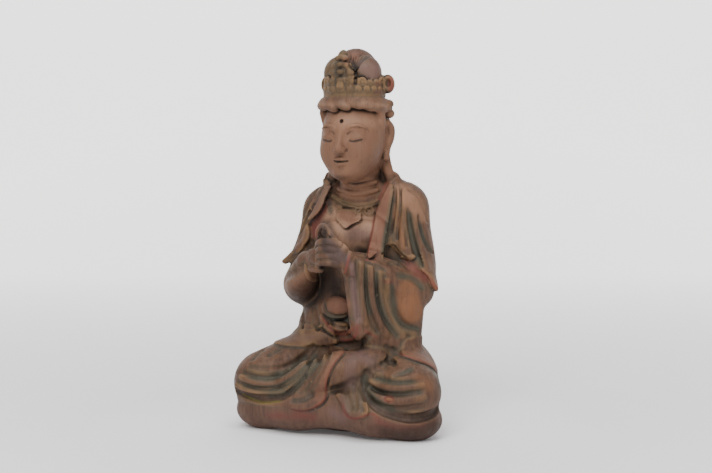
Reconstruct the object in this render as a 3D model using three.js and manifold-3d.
// A seated figure carved in the round from one block of wood: legs crossed, hands joined
// before the chest, a cloak over both shoulders, a crown in front of a tall hair knot.
// It stands on its flat underside. +Z is up and the figure looks along -Y, so +X is its left.
import * as THREE from "three";
import { mergeVertices } from "three/addons/utils/BufferGeometryUtils.js";
import Module from "manifold-3d";

// Driving dimensions, in millimetres
const HEIGHT = 560;

// The carver's measure: the figure is 56 fingers high, and its form is given in fingers
const FINGERS_HIGH = 56;
const FINGER = HEIGHT / FINGERS_HIGH;

// Proportions, in fingers: how far the knees stand out to each side and to the front, where the
// shins cross before the lap, and how deep the seat is behind
const RIGHT_KNEE = 12.6;
const LEFT_KNEE = 10.3;
const KNEE_FRONT = 6.2;
const SHIN_FRONT = 8.5;
const SEAT_DEEP = 6.2;
// The shoulders, the head and what stands on it
const SHOULDER_WIDE = 6.1;
const SHOULDER_HIGH = 33.7;
const HEAD_WIDE = 4.7;
const HEAD_DEEP = 5.2;
const HAIRLINE = 47.4;
const CROWN_FOOT = 49.4;
const CROWN_WIDE = 4.2;
const CROWN_DEEP = 4.6;
const KNOT_HIGH = 52.4;

// The working block, in fingers, which takes in the crown's plaque, and how finely it is worked
const PLAQUE_HIGH = 6.3;
const TOP = Math.max(FINGERS_HIGH, CROWN_FOOT + PLAQUE_HIGH);
const BLOCK_LOW = [-1.6 * RIGHT_KNEE, -1.7 * SHIN_FRONT, -3];
const BLOCK_HIGH = [1.7 * LEFT_KNEE, 1.85 * SEAT_DEEP, TOP + 1.5];
const PITCH = 0.4;
const REACH = 4 * PITCH;
const EMPTY = 6 * REACH;

// How many triangles the finished surface keeps
const TRIANGLES = 9600;

const RADIAN = Math.PI / 180;

// Smooth union of two depths, with a fillet about as wide as blend
function softMin(a, b, blend) {
  const near = Math.max(blend - Math.abs(a - b), 0) / blend;
  return Math.min(a, b) - near * near * blend * 0.25;
}

const between = (a, b, t) => a + (b - a) * t;

// The block being carved: how far each grid point lies outside the surface
class Block {
  constructor(low, high, pitch) {
    this.low = low;
    this.pitch = pitch;
    this.size = low.map((start, i) => Math.ceil((high[i] - start) / pitch) + 1);
    this.depth = new Float32Array(this.size[0] * this.size[1] * this.size[2]).fill(EMPTY);
  }

  // Sets each grid point of a box to what change(depth, x, y, z) returns
  work({ low, high }, margin, change) {
    const steps = [0, 1, 2].map((i) => {
      const from = Math.floor((low[i] - margin - this.low[i]) / this.pitch);
      const to = Math.ceil((high[i] + margin - this.low[i]) / this.pitch);
      return [Math.max(0, from), Math.min(this.size[i] - 1, to)];
    });
    for (let k = steps[2][0]; k <= steps[2][1]; k++) {
      const z = this.low[2] + k * this.pitch;
      for (let j = steps[1][0]; j <= steps[1][1]; j++) {
        const y = this.low[1] + j * this.pitch;
        for (let i = steps[0][0]; i <= steps[0][1]; i++) {
          const at = i + this.size[0] * (j + this.size[1] * k);
          this.depth[at] = change(this.depth[at], this.low[0] + i * this.pitch, y, z);
        }
      }
    }
  }

  add(shape, blend = 0.3) {
    this.work(shape, REACH, (old, x, y, z) => softMin(old, shape.depth(x, y, z), blend));
  }

  carve(shape, blend = 0.3) {
    this.work(shape, REACH, (old, x, y, z) => -softMin(-old, shape.depth(x, y, z), blend));
  }

  // Thickens the surface inside a region, as cloth laid over it
  layer(region, thickness, blend = 0.2) {
    this.work(region, 0.2, (old, x, y, z) => {
      if (Math.abs(old) > 4) return old;
      const cloth = -softMin(thickness - old, -region.depth(x, y, z), blend);
      return softMin(old, cloth, blend);
    });
  }

  // Depth at any point, from the eight grid points round it
  depthAt(x, y, z) {
    const [nx, ny, nz] = this.size;
    const gx = Math.min(Math.max((x - this.low[0]) / this.pitch, 0), nx - 1.001);
    const gy = Math.min(Math.max((y - this.low[1]) / this.pitch, 0), ny - 1.001);
    const gz = Math.min(Math.max((z - this.low[2]) / this.pitch, 0), nz - 1.001);
    const [i, j, k] = [Math.floor(gx), Math.floor(gy), Math.floor(gz)];
    const [fx, fy, fz] = [gx - i, gy - j, gz - k];
    const at = i + nx * (j + ny * k);
    const d = this.depth;
    const row = (start) => d[start] * (1 - fx) + d[start + 1] * fx;
    const sheet = (start) => row(start) * (1 - fy) + row(start + nx) * fy;
    return sheet(at) * (1 - fz) + sheet(at + nx * ny) * fz;
  }
}

// An egg-shaped mass, its radii along its own axes, turned by degrees about X, Y and Z
function egg(centre, radii, turn = [0, 0, 0]) {
  const euler = new THREE.Euler(...turn.map((angle) => angle * RADIAN));
  const back = new THREE.Matrix4().makeRotationFromEuler(euler).transpose().elements;
  const far = Math.max(...radii);
  return {
    low: centre.map((c) => c - far),
    high: centre.map((c) => c + far),
    depth(x, y, z) {
      const [dx, dy, dz] = [x - centre[0], y - centre[1], z - centre[2]];
      const px = (back[0] * dx + back[4] * dy + back[8] * dz) / radii[0];
      const py = (back[1] * dx + back[5] * dy + back[9] * dz) / radii[1];
      const pz = (back[2] * dx + back[6] * dy + back[10] * dz) / radii[2];
      const whole = Math.hypot(px, py, pz);
      const slope = Math.hypot(px / radii[0], py / radii[1], pz / radii[2]);
      return slope < 1e-6 ? -Math.min(...radii) : (whole * (whole - 1)) / slope;
    },
  };
}

// A smooth path through stations of any number of values
function smooth(stations, steps = 5) {
  const path = [];
  for (let s = 0; s < stations.length - 1; s++) {
    const [a, b, c, d] = [s - 1, s, s + 1, s + 2].map(
      (i) => stations[Math.min(Math.max(i, 0), stations.length - 1)],
    );
    for (let i = 0; i < steps; i++) {
      const t = i / steps;
      path.push(
        b.map((_, n) => {
          const pull = c[n] - a[n];
          const bend = 2 * a[n] - 5 * b[n] + 4 * c[n] - d[n];
          const twist = 3 * b[n] - a[n] - 3 * c[n] + d[n];
          return b[n] + 0.5 * t * (pull + t * (bend + t * twist));
        }),
      );
    }
  }
  path.push(stations[stations.length - 1]);
  return path;
}

// A limb along stations of x, y, z and radius. Flatness squeezes its section along a direction.
function limb(stations, { flat = 1, normal = [0, 0, 1], steps = 5 } = {}) {
  const path = stations.length > 2 ? smooth(stations, steps) : stations;
  const low = [0, 1, 2].map((i) => Math.min(...path.map((p) => p[i] - p[3])));
  const high = [0, 1, 2].map((i) => Math.max(...path.map((p) => p[i] + p[3])));
  const n = new THREE.Vector3(...normal).normalize();
  const bones = path.slice(1).map((end, i) => {
    const start = path[i];
    const run = [0, 1, 2, 3].map((m) => end[m] - start[m]);
    return { start, run, long: run[0] ** 2 + run[1] ** 2 + run[2] ** 2 || 1e-9 };
  });
  const squeeze = 1 / flat - 1;
  return {
    low,
    high,
    depth(x, y, z) {
      let best = EMPTY;
      for (const { start, run, long } of bones) {
        let dx = x - start[0];
        let dy = y - start[1];
        let dz = z - start[2];
        const share = (dx * run[0] + dy * run[1] + dz * run[2]) / long;
        const t = Math.min(Math.max(share, 0), 1);
        dx -= t * run[0];
        dy -= t * run[1];
        dz -= t * run[2];
        const radius = start[3] + t * run[3];
        const across = Math.hypot(dx, dy, dz);
        if (squeeze === 0) {
          best = Math.min(best, across - radius);
        } else {
          const lift = (dx * n.x + dy * n.y + dz * n.z) * squeeze;
          const wide = Math.hypot(dx + lift * n.x, dy + lift * n.y, dz + lift * n.z);
          best = Math.min(best, across * (1 - radius / Math.max(wide, 1e-6)));
        }
      }
      return best;
    },
  };
}

const figure = new Block(BLOCK_LOW, BLOCK_HIGH, PITCH);

// A viewer of the figure, turned from straight in front toward the figure's left. Places are
// told by u to the viewer's right and w up, on the upright plane through the figure's axis.
class View {
  constructor(turn, distance, high) {
    this.across = [Math.cos(turn * RADIAN), Math.sin(turn * RADIAN)];
    this.ahead = [Math.sin(turn * RADIAN), -Math.cos(turn * RADIAN)];
    this.distance = distance;
    this.high = high;
  }

  // The point seen at u and w that lies so near in front of the upright plane
  point(u, w, near) {
    const share = 1 - near / this.distance;
    return [
      u * share * this.across[0] + near * this.ahead[0],
      u * share * this.across[1] + near * this.ahead[1],
      between(this.high, w, share),
    ];
  }

  locate(x, y, z) {
    const near = x * this.ahead[0] + y * this.ahead[1];
    const grow = this.distance / (this.distance - near);
    const u = (x * this.across[0] + y * this.across[1]) * grow;
    return [u, between(this.high, z, grow), near];
  }

  // How near the carved surface is where the viewer looks at u and w
  surface(u, w, from) {
    let closest = [EMPTY, 0];
    for (let near = from; near > -9; near -= 0.2) {
      const depth = figure.depthAt(...this.point(u, w, near));
      if (depth < 0) return near;
      if (depth < closest[0]) closest = [depth, near];
    }
    return closest[1];
  }

  // A stroke over the surface, along stations of u, w and radius, lifted by shares of its radius
  stroke(stations, { lift = 0, from = 15, steps = 5 } = {}) {
    const path = smooth(stations, steps);
    let near = path.map(([u, w]) => this.surface(u, w, from));
    for (let pass = 0; pass < 3; pass++) {
      near = near.map((n, i) => {
        const before = near[Math.max(i - 1, 0)];
        const after = near[Math.min(i + 1, near.length - 1)];
        return (before + 2 * n + after) / 4;
      });
    }
    const points = path.map(([u, w, r], i) => [...this.point(u, w, near[i] + lift * r), r]);
    return limb(points, { steps: 1 });
  }

  // What lies inside an outline of u and w stations, between two distances in front of the plane
  outlined(stations, { near = [-4, 15], steps = 4 } = {}) {
    const ring = smooth([...stations, stations[0]], steps);
    const ends = ring.flatMap(([u, w]) => near.map((n) => this.point(u, w, n)));
    return {
      low: [0, 1, 2].map((i) => Math.min(...ends.map((p) => p[i]))),
      high: [0, 1, 2].map((i) => Math.max(...ends.map((p) => p[i]))),
      depth: (x, y, z) => {
        const [u, w, n] = this.locate(x, y, z);
        let best = EMPTY ** 2;
        let inside = false;
        for (let i = 1; i < ring.length; i++) {
          const [au, aw] = ring[i - 1];
          const [bu, bw] = ring[i];
          const long = (bu - au) ** 2 + (bw - aw) ** 2 || 1e-9;
          const share = ((u - au) * (bu - au) + (w - aw) * (bw - aw)) / long;
          const t = Math.min(Math.max(share, 0), 1);
          best = Math.min(best, (u - between(au, bu, t)) ** 2 + (w - between(aw, bw, t)) ** 2);
          if (aw > w !== bw > w && u < between(au, bu, (w - aw) / (bw - aw))) inside = !inside;
        }
        const edge = inside ? -Math.sqrt(best) : Math.sqrt(best);
        return Math.max(edge, near[0] - n, n - near[1]);
      },
    };
  }
}

// The viewer who sees the figure's face and left side, and ones straight before and behind it
const FRONT = new View(23, 220, 45);
const AHEAD = new View(0, 2200, 45);
const BEHIND = new View(180, 2200, 45);

// What lies inside any of several regions
const either = (...regions) => ({
  low: [0, 1, 2].map((i) => Math.min(...regions.map((region) => region.low[i]))),
  high: [0, 1, 2].map((i) => Math.max(...regions.map((region) => region.high[i]))),
  depth: (x, y, z) => Math.min(...regions.map((region) => region.depth(x, y, z))),
});

// Both sides of the body at once: side is -1 for its right and 1 for its left
const bothSides = (make) => [-1, 1].forEach(make);

const groove = (view, stations, options) => {
  figure.carve(view.stroke(stations, { lift: 0.25, ...options }), 0.35);
};
const ridge = (view, stations, options) => {
  figure.add(view.stroke(stations, { lift: -0.35, ...options }), 0.4);
};

// Strokes spread evenly from a first line to a last one
function spread(first, last, count, make) {
  for (let n = 0; n < count; n++) {
    const t = n / (count - 1);
    make(first.map((station, i) => station.map((v, m) => between(v, last[i][m], t))), t);
  }
}

function seat() {
  figure.add(egg([0, 3.4, 5.6], [10.8, SEAT_DEEP, 7.8]));
  figure.add(egg([-0.6, -1.6, 3.2], [11.5, SHIN_FRONT, 3.6]), 1.2);
  for (const [side, knee, slab] of [[-1, RIGHT_KNEE, RIGHT_KNEE], [1, LEFT_KNEE, LEFT_KNEE + 0.2]]) {
    const thigh = [
      [side * 4.5, 2.4, 8.6, 5.3],
      [side * between(6.4, knee, 0.36), -2.2, 8.2, 4.9],
      [side * knee, -KNEE_FRONT, 6.6, 4.6],
    ];
    figure.add(limb(thigh), 1.5);
    figure.add(egg([side * slab, 0.2 - KNEE_FRONT, 2.7], [4.5, 4.5, 3.1]), 0.8);
    const shin = [
      [side * (knee - 1), 0.5 - (KNEE_FRONT + SHIN_FRONT) / 2, 3.8, 3.6],
      [side * 6, -0.2 - SHIN_FRONT, 3.7, 3.4],
      [0, 0.3 - SHIN_FRONT, 4.2, 3.1],
    ];
    figure.add(limb(shin), 1.0);
  }
}

function torso() {
  figure.add(egg([-1.3, 0.8, 14], [8.9, 5.6, 7]), 1.6);
  figure.add(egg([-0.4, 1.2, 24], [7.9, 4.9, 11]), 2);
  const shoulders = [
    [-SHOULDER_WIDE, 1.8, SHOULDER_HIGH - 1.6, 2.8],
    [-0.6 * SHOULDER_WIDE, 1.6, SHOULDER_HIGH, 2.7],
    [0, 1.5, SHOULDER_HIGH - 0.1, 3.0],
    [0.6 * SHOULDER_WIDE, 1.7, SHOULDER_HIGH + 0.3, 2.8],
    [SHOULDER_WIDE, 1.9, SHOULDER_HIGH - 0.9, 3.0],
  ];
  figure.add(limb(shoulders), 1.6);
  bothSides((side) => {
    figure.add(limb([[side * 5.4, 3.2, SHOULDER_HIGH - 2.6, 2.5], [side * 7.0, 2.8, 24, 2.6]]), 1.6);
  });
  figure.add(egg([0, 2.5, SHOULDER_HIGH - 2.6], [5.4, 3.3, 4.6]), 1.4);
  figure.add(limb([[0, 0.8, 33, 3.2], [0, -0.8, 40, 2.8]]), 0.8);
}

function arms() {
  const rightArm = [
    [-SHOULDER_WIDE, 1.9, SHOULDER_HIGH - 2.2, 2.6],
    [-7.4, 1.2, 27, 2.7],
    [-9.4, 0.3, 21.0, 2.9],
  ];
  const leftArm = [
    [SHOULDER_WIDE, 1.9, SHOULDER_HIGH - 1.5, 2.7],
    [7.6, 1.3, 27, 2.7],
    [8.6, 0.2, 21.0, 2.8],
  ];
  figure.add(limb(rightArm), 2);
  figure.add(limb(leftArm), 2);
  figure.add(limb([[-9.4, 0, 20.7, 2.8], [-7.4, -4.6, 22.2, 2.4], [-5.1, -7.8, 25, 1.5]]), 0.8);
  figure.add(limb([[8.7, 0, 20.7, 2.7], [5.8, -5.4, 22.8, 2.2], [2.0, -9.3, 25.2, 1.5]]), 0.8);
}

// The left hand closes over the right one, and thumb and forefinger meet in a ring
function hands() {
  figure.add(egg([-1.4, -9.5, 26.9], [1.7, 1.2, 2.5], [0, 20, 0]), 0.5);
  figure.add(limb([[-4.9, -7.9, 25.1, 1.3], [-2.5, -9.3, 25.8, 1.45]]), 0.6);
  figure.add(egg([0.9, -9.9, 26.4], [1.7, 1.3, 1.8]), 0.5);
  for (let finger = 0; finger < 4; finger++) {
    const z = between(25.0, 28.0, finger / 3);
    figure.add(limb([[1.3, -10.7, z, 0.5], [0, -11.4, z + 0.35, 0.55], [-1.9, -10.7, z, 0.46]]), 0.12);
  }
  const thumb = [
    [-2.1, -9.7, 28.4, 0.6],
    [-2.2, -10.1, 29.6, 0.52],
    [-1.5, -10.5, 30.5, 0.48],
    [-0.7, -10.7, 30.4, 0.42],
  ];
  const forefinger = [
    [0.6, -10.3, 28.0, 0.62],
    [0.3, -10.7, 29.1, 0.55],
    [-0.3, -10.8, 30.0, 0.48],
    [-0.8, -10.8, 30.5, 0.42],
  ];
  figure.add(limb(thumb), 0.2);
  figure.add(limb(forefinger), 0.2);
  figure.carve(egg([-1.0, -10.3, 29.3], [0.75, 1.4, 0.7]), 0.12);
}

// The sleeve hangs from the left forearm down to the lap
function sleeve() {
  const top = [[2.0, -8.7, 24.6], [8.8, -1.4, 20.5]];
  const foot = [[2.6, -7.2, 15.2], [8.0, -1.8, 12.6]];
  for (let n = 0; n < 6; n++) {
    const t = n / 5;
    const [a, b] = [top, foot].map((line) => line[0].map((v, i) => between(v, line[1][i], t)));
    figure.add(limb([[...a, between(1.2, 2.0, t)], [...b, between(1.4, 2.2, t)]]), 0.8);
  }
}

function head() {
  figure.add(egg([0, -1.9, 43.4], [HEAD_WIDE, HEAD_DEEP, 6.2]), 0.5);
  figure.add(egg([0, -3.1, 41.8], [0.94 * HEAD_WIDE, 0.83 * HEAD_DEEP, 5.0]), 1);
  figure.add(egg([0, -4.7, 38.8], [2.9, 2.4, 2.2]), 1);
  figure.add(egg([0, -6.3, 38.0], [1.2, 0.9, 0.9]), 0.7);
  figure.add(limb([[0, -7.1, 44.2, 0.42], [0, -7.6, 42.6, 0.46], [0, -8.0, 41.5, 0.6]]), 0.45);
  figure.add(limb([[-0.9, -7.1, 39.5, 0.3], [0, -7.35, 39.4, 0.5], [0.9, -7.1, 39.5, 0.3]]), 0.3);
  bothSides((side) => {
    figure.add(egg([side * 2.5, -4.9, 40.7], [1.8, 1.8, 2.0]), 1.2);
    figure.carve(egg([side * 2.0, -8.0, 43.3], [1.4, 1.0, 0.8], [0, 0, side * 16]), 0.7);
    figure.add(egg([side * 2.1, -6.1, 42.9], [1.3, 0.95, 0.85], [0, 0, side * 14]), 0.2);
    const ear = [
      [side * 4.5, -1.9, 44.7, 0.45],
      [side * 5.1, -0.5, 44.5, 0.6],
      [side * 5.05, -0.5, 42.8, 0.6],
      [side * 4.6, -1.1, 40.2, 0.62],
    ];
    figure.add(limb(ear, { flat: 0.8, normal: [1, 0, 0] }), 0.2);
    figure.add(egg([side * 4.4, -1.3, 43.2], [0.5, 1.1, 1.9]), 0.2);
    const tress = [
      [side * 3.6, 0.7, 45, 0.9],
      [side * 3.7, 0.5, 41, 0.75],
      [side * 4.3, 0.4, 38.2, 0.75],
      [side * 5.0, 0.8, 36.2, 0.8],
    ];
    figure.add(limb(tress), 0.5);
  });
  figure.add(limb([[0, -0.7, 45.6, 4.35], [0, 0.4, 41.4, 3.5], [0, 1.8, 37.0, 3.0], [0, 2.6, 33, 3.0]]), 1);
  figure.carve(egg([0, -7.6, 45.4], [0.45, 1.1, 0.45]), 0.15);
}

// Runs round the head at a height: angles are told from straight ahead toward its left
const roundHead = (angle, wide, deep, z) => [
  wide * Math.sin(angle * RADIAN),
  -2.0 - deep * Math.cos(angle * RADIAN),
  z,
];

// The hair is rolled back over the brow all round, in short locks that hang lowest at the ears
function hairRoll() {
  const around = [];
  for (let angle = 0; angle <= 360; angle += 15) {
    const drop = 0.45 * (1 - Math.cos(angle * RADIAN));
    around.push([...roundHead(angle, CROWN_WIDE + 0.15, CROWN_DEEP, HAIRLINE + 0.8 - drop * 0.5), 1.05]);
    const lock = roundHead(angle, CROWN_WIDE + 0.55, CROWN_DEEP + 0.45, HAIRLINE - drop);
    figure.add(egg(lock, [0.95, 0.95, 1.0]), 0.35);
  }
  figure.add(limb(around, { steps: 2 }), 0.35);
  bothSides((side) => {
    figure.add(egg([side * 5.0, -1.1, HAIRLINE + 0.5], [0.7, 0.9, 0.65]), 0.15);
    figure.add(egg([side * 4.9, -0.6, HAIRLINE - 0.9], [0.75, 0.9, 0.7]), 0.15);
    const lock = [
      [side * 4.5, -3.6, HAIRLINE - 0.8, 0.6],
      [side * 4.65, -2.9, HAIRLINE - 2.2, 0.5],
      [side * 4.5, -2.7, HAIRLINE - 4.0, 0.35],
    ];
    figure.add(limb(lock), 0.4);
  });
}

// The crown stands before the hair knot: a low wall with two rows of scrolls, a tall plaque in
// front with its own bosses, and a ribbon's knot over each ear
function crown() {
  figure.add(egg([-0.1, -1.9, CROWN_FOOT + 0.2], [CROWN_WIDE, CROWN_DEEP, 2.6]), 0.3);
  const rows = [[0.2, 120, 0.9, 0.75], [1.2, 110, 0.88, 0.7]];
  for (const [up, reach, out, thick] of rows) {
    const wall = [];
    for (let angle = -reach; angle <= reach; angle += 15) {
      wall.push([...roundHead(angle, out * CROWN_WIDE, out * CROWN_DEEP, CROWN_FOOT + up), thick]);
    }
    figure.add(limb(wall, { steps: 2 }), 0.3);
  }
  for (let angle = -98; angle <= 98; angle += 14) {
    const scroll = roundHead(angle, CROWN_WIDE + 0.05, CROWN_DEEP + 0.05, CROWN_FOOT + 1.5);
    const bead = roundHead(angle + 7, CROWN_WIDE + 0.2, CROWN_DEEP + 0.2, CROWN_FOOT + 0.15);
    figure.add(egg(scroll, [0.55, 0.55, 0.6]), 0.12);
    figure.add(egg(bead, [0.5, 0.5, 0.42]), 0.12);
  }
  const plaque = [[1.55, -0.6], [1.55, 1.8], [1.45, 3.5], [1.0, 4.2], [0.4, 4.5]];
  const outline = [
    ...plaque.map(([half, up]) => [-half - 0.2, CROWN_FOOT + up]),
    ...plaque.toReversed().map(([half, up]) => [half - 0.2, CROWN_FOOT + up]),
  ];
  figure.add(AHEAD.outlined(outline, { near: [3.4, 6.6] }), 0.25);
  figure.add(egg([-0.25, -5.5, CROWN_FOOT + PLAQUE_HIGH - 1.4], [0.85, 1.1, 1.35]), 0.25);
  const bosses = [
    [1.1, 0, 0.75], [3.1, 0, 0.85], [4.8, 0, 0.55],
    [0.8, 1.5, 0.5], [2.2, 1.55, 0.5], [3.4, 1.4, 0.5], [4.6, 0.85, 0.45],
  ];
  for (const [up, reach, size] of bosses) {
    bothSides((side) => {
      const boss = [side * reach - 0.15, reach ? -6.5 : -6.8, CROWN_FOOT + up];
      figure.add(egg(boss, [size, 0.55, size]), 0.15);
    });
  }
  bothSides((side) => {
    figure.add(egg([side * 4.75, -0.9, CROWN_FOOT + 1.4], [1.05, 1.0, 1.4]), 0.3);
    figure.carve(egg([side * 5.1, -1.9, CROWN_FOOT + 1.5], [0.5, 0.75, 0.75]), 0.15);
  });
}

// The tall knot: a dome behind, combed back from the front, and a smaller roll of hair on each
// side of the parting
function hairKnot() {
  figure.add(egg([-0.2, -1.0, KNOT_HIGH], [3.35, 3.5, FINGERS_HIGH + 0.05 - KNOT_HIGH]), 0.3);
  bothSides((side) => {
    figure.add(egg([side * 2.1 - 0.1, -2.5, KNOT_HIGH - 0.3], [2.25, 2.5, 2.35]), 0.12);
  });
  const first = [[-1.9, 2.9, 0.14], [-1.8, 2.0, 0.22], [-1.4, 0.9, 0.2]];
  const last = [[1.3, 2.4, 0.14], [0.4, 1.8, 0.22], [-0.3, 0.8, 0.2]];
  const atKnot = (line) => line.map(([u, up, r]) => [u, KNOT_HIGH + up, r]);
  spread(atKnot(first), atKnot(last), 4, (line) => groove(FRONT, line));
  groove(FRONT, atKnot([[-0.55, 0.2, 0.3], [-0.65, -0.8, 0.4], [-0.7, -1.5, 0.45]]));
}

seat();
torso();
arms();
sleeve();
hands();
head();
hairRoll();
crown();
hairKnot();

// The space under the joined hands, open to the right of the sleeve
function hollow() {
  figure.carve(limb([[-1.6, -7.2, 22.6, 1.6], [-2.2, -6.6, 19.6, 1.9]]), 0.6);
}

function cloak() {
  const rightFront = [
    [-4.3, 36.3], [-4.9, 34.8], [-5.9, 32.2], [-7.6, 30.6], [-7.6, 28.4], [-8.8, 26.2], [-11.2, 24.6],
    [-14, 26], [-12, 34], [-6.4, 37.0],
  ];
  const leftFront = [
    [4.4, 36.5], [2.9, 33], [1.9, 28.7], [1.2, 25.0], [4.5, 27.2], [6.3, 25.6], [7.6, 25.0], [8.7, 25.2],
    [9.0, 23.4], [10.1, 22.3], [11.3, 20.4], [12.4, 21.2], [14, 28], [11, 36], [6.4, 37.4],
  ];
  const back = [
    [-13, 33], [-14, 21.6], [-10, 20.6], [-7.6, 19], [-7.4, 13.6], [0, 12.4], [8, 13.6], [9, 20],
    [11, 23.6], [14, 24.6], [12.5, 33], [5, 38], [-5, 38],
  ];
  const cloth = either(
    FRONT.outlined(rightFront, { near: [-5.5, 3.5] }),
    FRONT.outlined(leftFront, { near: [-2.5, 9] }),
    BEHIND.outlined(back, { near: [0.6, 12] }),
  );
  figure.layer(cloth, 0.55);
}

function lapels() {
  const left = [
    [4.3, 36.2], [2.7, 32.8], [1.8, 28.7], [1.0, 24.9], [3.1, 24.7], [3.5, 27.1], [4.3, 30.7], [5.0, 35.5],
  ];
  const right = [
    [-4.2, 36.0], [-5.2, 33.9], [-5.9, 32.2], [-7.5, 30.7], [-7.9, 31.6], [-6.8, 33.2], [-6.0, 35.1],
  ];
  figure.layer(FRONT.outlined(left, { near: [-2, 7] }), 0.45);
  figure.layer(FRONT.outlined(right, { near: [-5, 6] }), 0.4);
}

// Creases down the shoulders, and the hems that turn back over the arms
function capeFolds() {
  [
    [[7.0, 32.4, 0.3], [7.5, 29.6, 0.55], [8.2, 26.6, 0.6], [9.1, 24.0, 0.45]],
    [[8.5, 31.4, 0.3], [9.1, 28.8, 0.45], [10.1, 26.6, 0.45], [11.0, 25.9, 0.35]],
    [[7.1, 35.3, 0.3], [8.6, 34.4, 0.38], [9.5, 32.6, 0.38], [10.1, 30.6, 0.3]],
    [[5.2, 35.6, 0.3], [5.0, 32.6, 0.4], [4.5, 29.4, 0.4], [4.2, 27.4, 0.3]],
    [[-5.2, 36.0, 0.3], [-6.6, 34.6, 0.42], [-7.8, 32.6, 0.42], [-8.5, 30.6, 0.3]],
    [[-7.6, 31.0, 0.3], [-8.8, 28.6, 0.4], [-10.2, 26.4, 0.3]],
  ].forEach((line) => groove(FRONT, line));
  ridge(FRONT, [[-7.6, 29.4, 0.4], [-8.0, 27.6, 0.5], [-9.4, 26.0, 0.55], [-11.2, 24.5, 0.5]]);
  groove(FRONT, [[5.5, 26.0, 0.4], [5.9, 25.2, 0.55], [5.9, 24.2, 0.5], [5.8, 23.4, 0.35]], { lift: -0.3 });
  ridge(FRONT, [[8.5, 24.8, 0.4], [8.8, 23.5, 0.42], [10.0, 22.2, 0.45], [11.3, 20.6, 0.45]]);
  figure.add(limb([[-9.4, 2.4, 20.5, 1.8], [-8.0, 2.8, 16.0, 1.6]]), 1);
  groove(FRONT, [[-11.4, 21.9, 0.35], [-9.6, 23.0, 0.45], [-8.3, 24.0, 0.35]]);
  groove(FRONT, [[-6.9, 17.4, 0.4], [-6.6, 15.2, 0.5], [-6.0, 13.6, 0.4]]);
  ridge(FRONT, [[-8.0, 24.4, 0.42], [-7.7, 22.9, 0.48], [-6.7, 21.8, 0.42]]);
}

// Rolls of the neck, a collar with scrolls hung from it, and a pendant between them
function necklace() {
  ridge(FRONT, [[-2.4, 36.4, 0.4], [-0.6, 35.8, 0.45], [2.2, 36.3, 0.4]], { from: 4 });
  ridge(FRONT, [[-3.1, 35.4, 0.4], [-0.5, 34.6, 0.45], [2.5, 35.2, 0.4]], { from: 5 });
  ridge(FRONT, [[-3.9, 34.3, 0.45], [-2.1, 33.3, 0.5], [0.1, 32.8, 0.5], [2.6, 33.4, 0.45]]);
  const pendant = [
    [-3.4, 32.4], [-3.5, 31.0], [-2.9, 30.2], [-2.2, 29.5], [-1.2, 30.1], [0.1, 30.8], [-0.1, 32.1],
    [-1.8, 32.4],
  ];
  figure.layer(FRONT.outlined(pendant), 0.5);
  for (const [u, w, size] of [[-4.3, 32.1, 0.55], [-0.2, 31.9, 0.5], [1.4, 32.0, 0.6]]) {
    ridge(FRONT, [[u - 0.1, w, size], [u + 0.1, w, size]], { lift: -0.2 });
  }
}

// The sleeve's pleats hang straight at the wrist and swing round the elbow further back
function sleeveFolds() {
  figure.add(egg([8.2, -2.4, 18.6], [2.2, 2.0, 2.8]), 0.4);
  ridge(FRONT, [[-1.5, 25.7, 0.48], [-1.9, 24.3, 0.52], [-2.2, 23.1, 0.48]]);
  [
    [[-0.4, 24.4, 0.28], [-0.35, 22.2, 0.36], [-0.3, 19.4, 0.36], [0.0, 16.4, 0.3]],
    [[0.8, 23.8, 0.3], [0.85, 21.6, 0.42], [1.0, 19.2, 0.45], [1.7, 16.4, 0.42], [2.7, 14.2, 0.35]],
    [[2.3, 23.6, 0.3], [2.45, 21.0, 0.5], [2.8, 18.2, 0.55], [3.9, 15.6, 0.55], [5.6, 13.5, 0.4]],
    [[4.5, 21.6, 0.3], [4.7, 18.8, 0.5], [5.2, 16.6, 0.6], [6.4, 15.0, 0.6], [8.4, 14.2, 0.45]],
    [[5.8, 22.5, 0.32], [7.4, 22.2, 0.42], [8.7, 21.4, 0.38], [9.4, 20.4, 0.3]],
  ].forEach((line) => groove(FRONT, line));
  const pleat = [[3.2, 22.0, 0.3], [3.4, 19.6, 0.4], [4.0, 16.9, 0.42], [5.1, 14.9, 0.42], [7.0, 13.4, 0.35]];
  ridge(FRONT, pleat);
}

// The round knot at the belly, the hems under it and the sash that crosses the lap
function waist() {
  figure.add(egg([-1.9, -4.6, 18.2], [2.1, 1.4, 1.75]), 0.2);
  figure.add(egg([-1.2, -4.9, 15.4], [1.5, 1.1, 0.85]), 0.2);
  groove(FRONT, [[-5.3, 18.2, 0.3], [-4.9, 16.9, 0.35], [-3.4, 16.3, 0.35], [-1.8, 16.6, 0.3]]);
  ridge(FRONT, [[-5.7, 16.4, 0.38], [-4.4, 14.5, 0.46], [-2.8, 13.8, 0.46], [-1.3, 14.1, 0.4]]);
  const gap = [[-3.6, 12.15, 0.35], [-1.8, 12.0, 0.5], [0.0, 12.5, 0.5], [1.4, 13.4, 0.35]];
  groove(FRONT, gap, { lift: -0.2 });
  const scarf = [[-8.4, 15.2], [-12.2, 13.3], [-12.4, 12.4], [-8.2, 12.0], [-3.6, 12.4], [-4.6, 14.6]];
  figure.layer(FRONT.outlined(scarf, { near: [-7, 6] }), 0.5);
}

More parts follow.
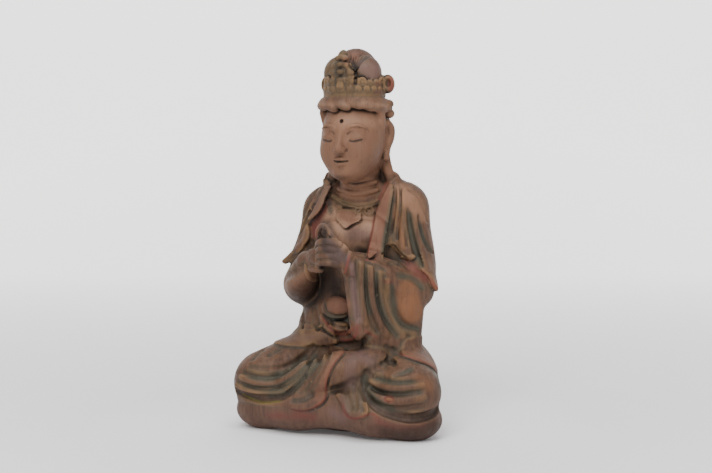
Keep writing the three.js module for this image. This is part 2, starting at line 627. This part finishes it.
function lap() {
  figure.add(egg([3.5, -5.5, 8.2], [5.5, 4.5, 4.2]), 0.8);
  const upperShin = [
    [-6, -8.0, 6.8, 3.0],
    [-0.4, -8.8, 9.2, 2.8],
    [2.6, -8.0, 10.2, 2.2],
    [6.0, -6.3, 10.6, 1.5],
  ];
  figure.add(limb(upperShin), 0.5);
  figure.add(limb([[4.6, -5.2, 13.0, 1.4], [6.8, -3.6, 12.2, 1.6], [8.6, -2.4, 11.6, 1.6]]), 0.8);
  const rightRobe = [
    [-2.3, 11.2], [-4.2, 9.0], [-5.0, 6.8], [-5.3, 3.9], [-6.9, 2.5], [-8.8, 2.0], [-12, 2.6], [-17, 3.4],
    [-20, 5], [-19, 10], [-14, 13.4], [-8, 14.4], [-4, 13.2],
  ];
  figure.layer(FRONT.outlined(rightRobe, { near: [-8, 14] }), 0.4);
  const tail = [
    [-1.0, 6.3], [-3.5, 4.9], [-3.0, 3.2], [-2.3, 2.0], [-0.7, 0.9], [1.2, 1.5], [1.0, 3.8], [0.4, 5.6],
  ];
  figure.layer(FRONT.outlined(tail, { near: [2, 15] }), 0.5);
  const leftRobe = [
    [6.2, 10.4], [8.6, 9.3], [10.6, 8.2], [11.7, 6.4], [12.1, 3.8], [14, 4], [14, 9], [11, 13], [7, 13],
  ];
  figure.layer(FRONT.outlined(leftRobe, { near: [-6, 15] }), 0.35);
}

// Folds sweep round both knees from the lap's middle, deepest where the slab begins
function lapFolds() {
  [
    [[-16.4, 8.7, 0.25], [-13.9, 8.4, 0.34], [-11.6, 8.6, 0.36], [-9.9, 9.3, 0.36], [-8.3, 10.4, 0.28]],
    [
      [-18.0, 8.0, 0.3], [-15.6, 7.2, 0.45], [-13.3, 7.1, 0.5], [-11.1, 7.9, 0.5], [-8.8, 9.6, 0.45],
      [-7.3, 11.2, 0.3],
    ],
    [
      [-18.3, 6.3, 0.35], [-15.7, 5.5, 0.5], [-12.8, 5.4, 0.55], [-10.8, 6.3, 0.55],
      [-8.6, 8.2, 0.5], [-6.4, 10.7, 0.35],
    ],
    [
      [-18.6, 5.2, 0.5], [-16.8, 4.3, 0.65], [-14.6, 3.9, 0.7], [-11.6, 4.2, 0.65], [-9.9, 5.4, 0.5],
      [-8.2, 7.4, 0.35],
    ],
    [[-4.8, 10.2, 0.25], [-5.8, 8.7, 0.4], [-6.9, 7.0, 0.4], [-7.8, 5.6, 0.28]],
    [[-3.9, 5.4, 0.45], [-2.2, 5.6, 0.6], [-0.4, 6.5, 0.6], [1.4, 8.0, 0.55], [3.4, 8.9, 0.4]],
    [
      [0.3, 6.5, 0.4], [0.8, 4.4, 0.55], [2.3, 2.6, 0.65], [4.8, 1.4, 0.65], [7.8, 0.9, 0.65],
      [10.8, 1.6, 0.55], [12.1, 3.4, 0.4],
    ],
    [[0.9, 7.3, 0.32], [2.8, 6.5, 0.46], [5.2, 6.1, 0.44], [8.4, 5.9, 0.3]],
    [[0.7, 6.3, 0.35], [2.4, 5.1, 0.5], [4.6, 4.4, 0.52], [7.2, 4.2, 0.48], [9.4, 4.3, 0.3]],
    [[0.9, 4.9, 0.35], [2.3, 3.8, 0.5], [4.2, 3.0, 0.55], [6.6, 2.6, 0.5], [9.0, 2.5, 0.35]],
    [[-0.9, 5.8, 0.3], [-0.8, 4.2, 0.4], [-0.6, 2.4, 0.3]],
    [[3.9, 11.0, 0.3], [6.2, 10.0, 0.4], [8.0, 8.8, 0.32]],
  ].forEach((line) => groove(FRONT, line));
}

// Behind, the cloak falls in a few long plain folds from the shoulders to the seat
function backFolds() {
  for (const u of [-6.4, -2.4, 2.4, 6.4]) {
    groove(BEHIND, [[u * 0.8, 30, 0.35], [u * 0.95, 23, 0.5], [u * 1.25, 13.4, 0.45]], { from: 11 });
  }
  spread(
    [[-9.4, 9.6, 0.25], [-5, 8.4, 0.5], [0, 8.0, 0.5], [5, 8.4, 0.5], [9.4, 9.6, 0.25]],
    [[-9.4, 4.8, 0.25], [-5, 3.7, 0.5], [0, 3.3, 0.5], [5, 3.7, 0.5], [9.4, 4.8, 0.25]],
    2,
    (line) => groove(BEHIND, line, { from: 11 }),
  );
}

hollow();
cloak();
lapels();
capeFolds();
necklace();
sleeveFolds();
waist();
lap();
lapFolds();
backFolds();

// The front of the seat is hollowed from below, so the figure bears on its knees and its back
figure.carve(egg([-0.5, -11.4, -1.6], [6.5, 5.2, 2.9]), 0.6);

// Fills the cells where two parts of the surface would touch along an edge or at a corner
function mendCorners({ depth, size }) {
  const [nx, ny, nz] = size;
  const step = [1, nx, nx * ny];
  const corner = [...Array(8).keys()].map((n) => (n & 1) + ((n >> 1) & 1) * nx + (n >> 2) * step[2]);
  const faces = [[0, 1, 3, 2], [4, 5, 7, 6], [0, 1, 5, 4], [2, 3, 7, 6], [0, 2, 6, 4], [1, 3, 7, 5]];
  for (let changed = true; changed; ) {
    changed = false;
    for (let k = 0; k < nz - 1; k++) {
      for (let j = 0; j < ny - 1; j++) {
        for (let i = 0; i < nx - 1; i++) {
          const at = i + nx * (j + ny * k);
          let full = 0;
          for (let n = 0; n < 8; n++) if (depth[at + corner[n]] < 0) full |= 1 << n;
          if (full === 0 || full === 255) continue;
          const solid = (n) => (full >> n) & 1;
          const touching = faces.some(
            ([a, b, c, d]) => solid(a) === solid(c) && solid(b) === solid(d) && solid(a) !== solid(b),
          );
          const opposite = [129, 66, 36, 24].some((pair) => full === pair || full === 255 - pair);
          if (!touching && !opposite) continue;
          for (let n = 0; n < 8; n++) depth[at + corner[n]] = Math.min(depth[at + corner[n]], -1e-3);
          changed = true;
        }
      }
    }
  }
}

// The surface as a net of triangles, one point in each grid cell that the surface crosses
function skin(block) {
  const { depth, size, low, pitch } = block;
  const [nx, ny, nz] = size;
  const step = [1, nx, nx * ny];
  const points = [];
  const triangles = [];
  const pointOf = new Int32Array(nx * ny * nz).fill(-1);
  const corners = [...Array(8).keys()].map((n) => [n & 1, (n >> 1) & 1, n >> 2]);
  for (let k = 0; k < nz - 1; k++) {
    for (let j = 0; j < ny - 1; j++) {
      for (let i = 0; i < nx - 1; i++) {
        const at = i + nx * (j + ny * k);
        const value = corners.map(([a, b, c]) => depth[at + a + b * nx + c * step[2]]);
        const inside = value.filter((d) => d < 0).length;
        if (inside === 0 || inside === 8) continue;
        const sum = [0, 0, 0];
        let crossings = 0;
        corners.forEach((from, n) => {
          for (let axis = 0; axis < 3; axis++) {
            const m = n | (1 << axis);
            if (m === n || value[n] < 0 === value[m] < 0) continue;
            const t = value[n] / (value[n] - value[m]);
            from.forEach((c, q) => (sum[q] += q === axis ? t : c));
            crossings++;
          }
        });
        pointOf[at] = points.length;
        points.push([i, j, k].map((g, q) => low[q] + (g + sum[q] / crossings) * pitch));
      }
    }
  }
  for (let k = 1; k < nz - 1; k++) {
    for (let j = 1; j < ny - 1; j++) {
      for (let i = 1; i < nx - 1; i++) {
        const at = i + nx * (j + ny * k);
        for (let axis = 0; axis < 3; axis++) {
          if (depth[at] < 0 === depth[at + step[axis]] < 0) continue;
          const u = step[(axis + 1) % 3];
          const v = step[(axis + 2) % 3];
          const quad = [at - u - v, at - v, at, at - u].map((cell) => pointOf[cell]);
          if (depth[at] >= 0) quad.reverse();
          triangles.push([quad[0], quad[1], quad[2]], [quad[0], quad[2], quad[3]]);
        }
      }
    }
  }
  return { points, triangles };
}

const cross = (a, b) => [a[1] * b[2] - a[2] * b[1], a[2] * b[0] - a[0] * b[2], a[0] * b[1] - a[1] * b[0]];
const dot = (a, b) => a[0] * b[0] + a[1] * b[1] + a[2] * b[2];
const minus = (a, b) => [a[0] - b[0], a[1] - b[1], a[2] - b[2]];

// The face, the crown and the hands keep finer facets than the cloth
const care = ([x, y, z]) => (z > 36.5 || (y < -8 && z > 23) ? 5 : 1);

// Joins short or level edges until the net has few enough triangles. Each point keeps the sum of
// the planes it has stood for, so an edge costs what its joined point would stray from them.
function simplify({ points, triangles }, count) {
  const faces = triangles.map((t) => [...t]);
  const around = points.map(() => new Set());
  const planes = points.map(() => new Float64Array(10));
  const stamp = new Int32Array(points.length);
  const normalOf = ([a, b, c], at = (p) => points[p]) => cross(minus(at(b), at(a)), minus(at(c), at(a)));
  faces.forEach((face, f) => {
    face.forEach((p) => around[p].add(f));
    const n = normalOf(face);
    const size = Math.hypot(...n) || 1e-12;
    const unit = n.map((v) => v / size);
    const plane = [...unit, -dot(unit, points[face[0]])];
    const weight = size * care(points[face[0]]);
    let slot = 0;
    const terms = new Float64Array(10);
    for (let i = 0; i < 4; i++) for (let j = i; j < 4; j++) terms[slot++] = weight * plane[i] * plane[j];
    face.forEach((p) => terms.forEach((v, i) => (planes[p][i] += v)));
  });
  const cost = (q, [x, y, z]) =>
    q[0] * x * x + 2 * q[1] * x * y + 2 * q[2] * x * z + 2 * q[3] * x + q[4] * y * y +
    2 * q[5] * y * z + 2 * q[6] * y + q[7] * z * z + 2 * q[8] * z + q[9];
  const best = (a, b) => {
    const q = planes[a].map((v, i) => v + planes[b][i]);
    const middle = points[a].map((v, i) => (v + points[b][i]) / 2);
    const rows = [[q[0], q[1], q[2]], [q[1], q[4], q[5]], [q[2], q[5], q[7]]];
    const hold = 1e-3 * (q[0] + q[4] + q[7]);
    rows.forEach((row, i) => (row[i] += hold));
    const right = middle.map((v, i) => hold * v - [q[3], q[6], q[8]][i]);
    const whole = dot(rows[0], cross(rows[1], rows[2]));
    const place = [0, 1, 2].map((i) => {
      const swapped = rows.map((row, r) => row.map((v, c) => (c === i ? right[r] : v)));
      return dot(swapped[0], cross(swapped[1], swapped[2])) / whole;
    });
    const gap = minus(points[a], points[b]);
    return { place, cost: cost(q, place) + 1e-3 * hold * dot(gap, gap) };
  };
  const heap = [];
  const push = (item) => {
    let at = heap.push(item) - 1;
    while (at > 0 && heap[(at - 1) >> 1].cost > item.cost) {
      heap[at] = heap[(at - 1) >> 1];
      at = (at - 1) >> 1;
    }
    heap[at] = item;
  };
  const pop = () => {
    const first = heap[0];
    const item = heap.pop();
    if (heap.length === 0) return first;
    let at = 0;
    for (let child = 1; child < heap.length; child = 2 * at + 1) {
      if (child + 1 < heap.length && heap[child + 1].cost < heap[child].cost) child++;
      if (heap[child].cost >= item.cost) break;
      heap[at] = heap[child];
      at = child;
    }
    heap[at] = item;
    return first;
  };
  const offer = (a, b) => push({ a, b, sa: stamp[a], sb: stamp[b], ...best(a, b) });
  const neighbours = (p) => new Set([...around[p]].flatMap((f) => faces[f].filter((q) => q !== p)));
  points.forEach((_, a) => neighbours(a).forEach((b) => a < b && offer(a, b)));
  let left = faces.length;
  while (left > count && heap.length > 0) {
    const { a, b, sa, sb, place } = pop();
    if (stamp[a] !== sa || stamp[b] !== sb) continue;
    const both = [...around[a]].filter((f) => around[b].has(f));
    const nearA = neighbours(a);
    const shared = [...neighbours(b)].filter((p) => nearA.has(p));
    if (both.length !== 2 || shared.length !== 2) continue;
    const turns = [...around[a], ...around[b]].some((f) => {
      if (both.includes(f)) return false;
      const before = normalOf(faces[f]);
      const after = normalOf(faces[f], (p) => (p === a || p === b ? place : points[p]));
      return dot(before, after) < 0.3 * Math.hypot(...before) * Math.hypot(...after);
    });
    if (turns) continue;
    both.forEach((f) => faces[f].forEach((p) => around[p].delete(f)));
    both.forEach((f) => (faces[f] = null));
    around[b].forEach((f) => {
      faces[f] = faces[f].map((p) => (p === b ? a : p));
      around[a].add(f);
    });
    around[b].clear();
    points[a] = place;
    planes[a].forEach((v, i) => (planes[a][i] = v + planes[b][i]));
    stamp[a]++;
    stamp[b] = -1;
    left -= 2;
    neighbours(a).forEach((p) => offer(a, p));
  }
  return { points, triangles: faces.filter(Boolean) };
}

mendCorners(figure);
const { points, triangles } = simplify(skin(figure), TRIANGLES);

const wasm = await Module();
wasm.setup();

// A closed triangle mesh as a solid, its shared points merged
function solidOf(geometry) {
  const bare = new THREE.BufferGeometry();
  bare.setAttribute("position", geometry.getAttribute("position"));
  bare.setIndex(geometry.getIndex());
  const merged = mergeVertices(bare, 1e-3);
  return new wasm.Manifold(
    new wasm.Mesh({
      numProp: 3,
      vertProperties: merged.attributes.position.array,
      triVerts: new Uint32Array(merged.index.array),
    }),
  );
}

const rough = new THREE.BufferGeometry();
const corners = points.flatMap((p) => p.map((v) => v * FINGER));
rough.setAttribute("position", new THREE.Float32BufferAttribute(corners, 3));
rough.setIndex(triangles.flat());

// The underside is sawn flat, and the middle of the figure's box is set over the origin
const ground = new THREE.BoxGeometry(HEIGHT, HEIGHT, HEIGHT).translate(0, 0, -HEIGHT / 2);
const trimmed = solidOf(rough).subtract(solidOf(ground)).getMesh();
const geometry = new THREE.BufferGeometry();
geometry.setAttribute("position", new THREE.BufferAttribute(trimmed.vertProperties, 3));
geometry.setIndex(new THREE.BufferAttribute(trimmed.triVerts, 1));
geometry.computeBoundingBox();
const centre = geometry.boundingBox.getCenter(new THREE.Vector3());
geometry.translate(-centre.x, -centre.y, 0);

const WOOD_BROWN = 0x6b4a35;
const wood = new THREE.MeshStandardMaterial({ color: WOOD_BROWN, roughness: 0.75, metalness: 0 });
const statue = new THREE.Mesh(geometry, wood);
statue.name = "statue";
const group = new THREE.Group();
group.add(statue);

export default group;
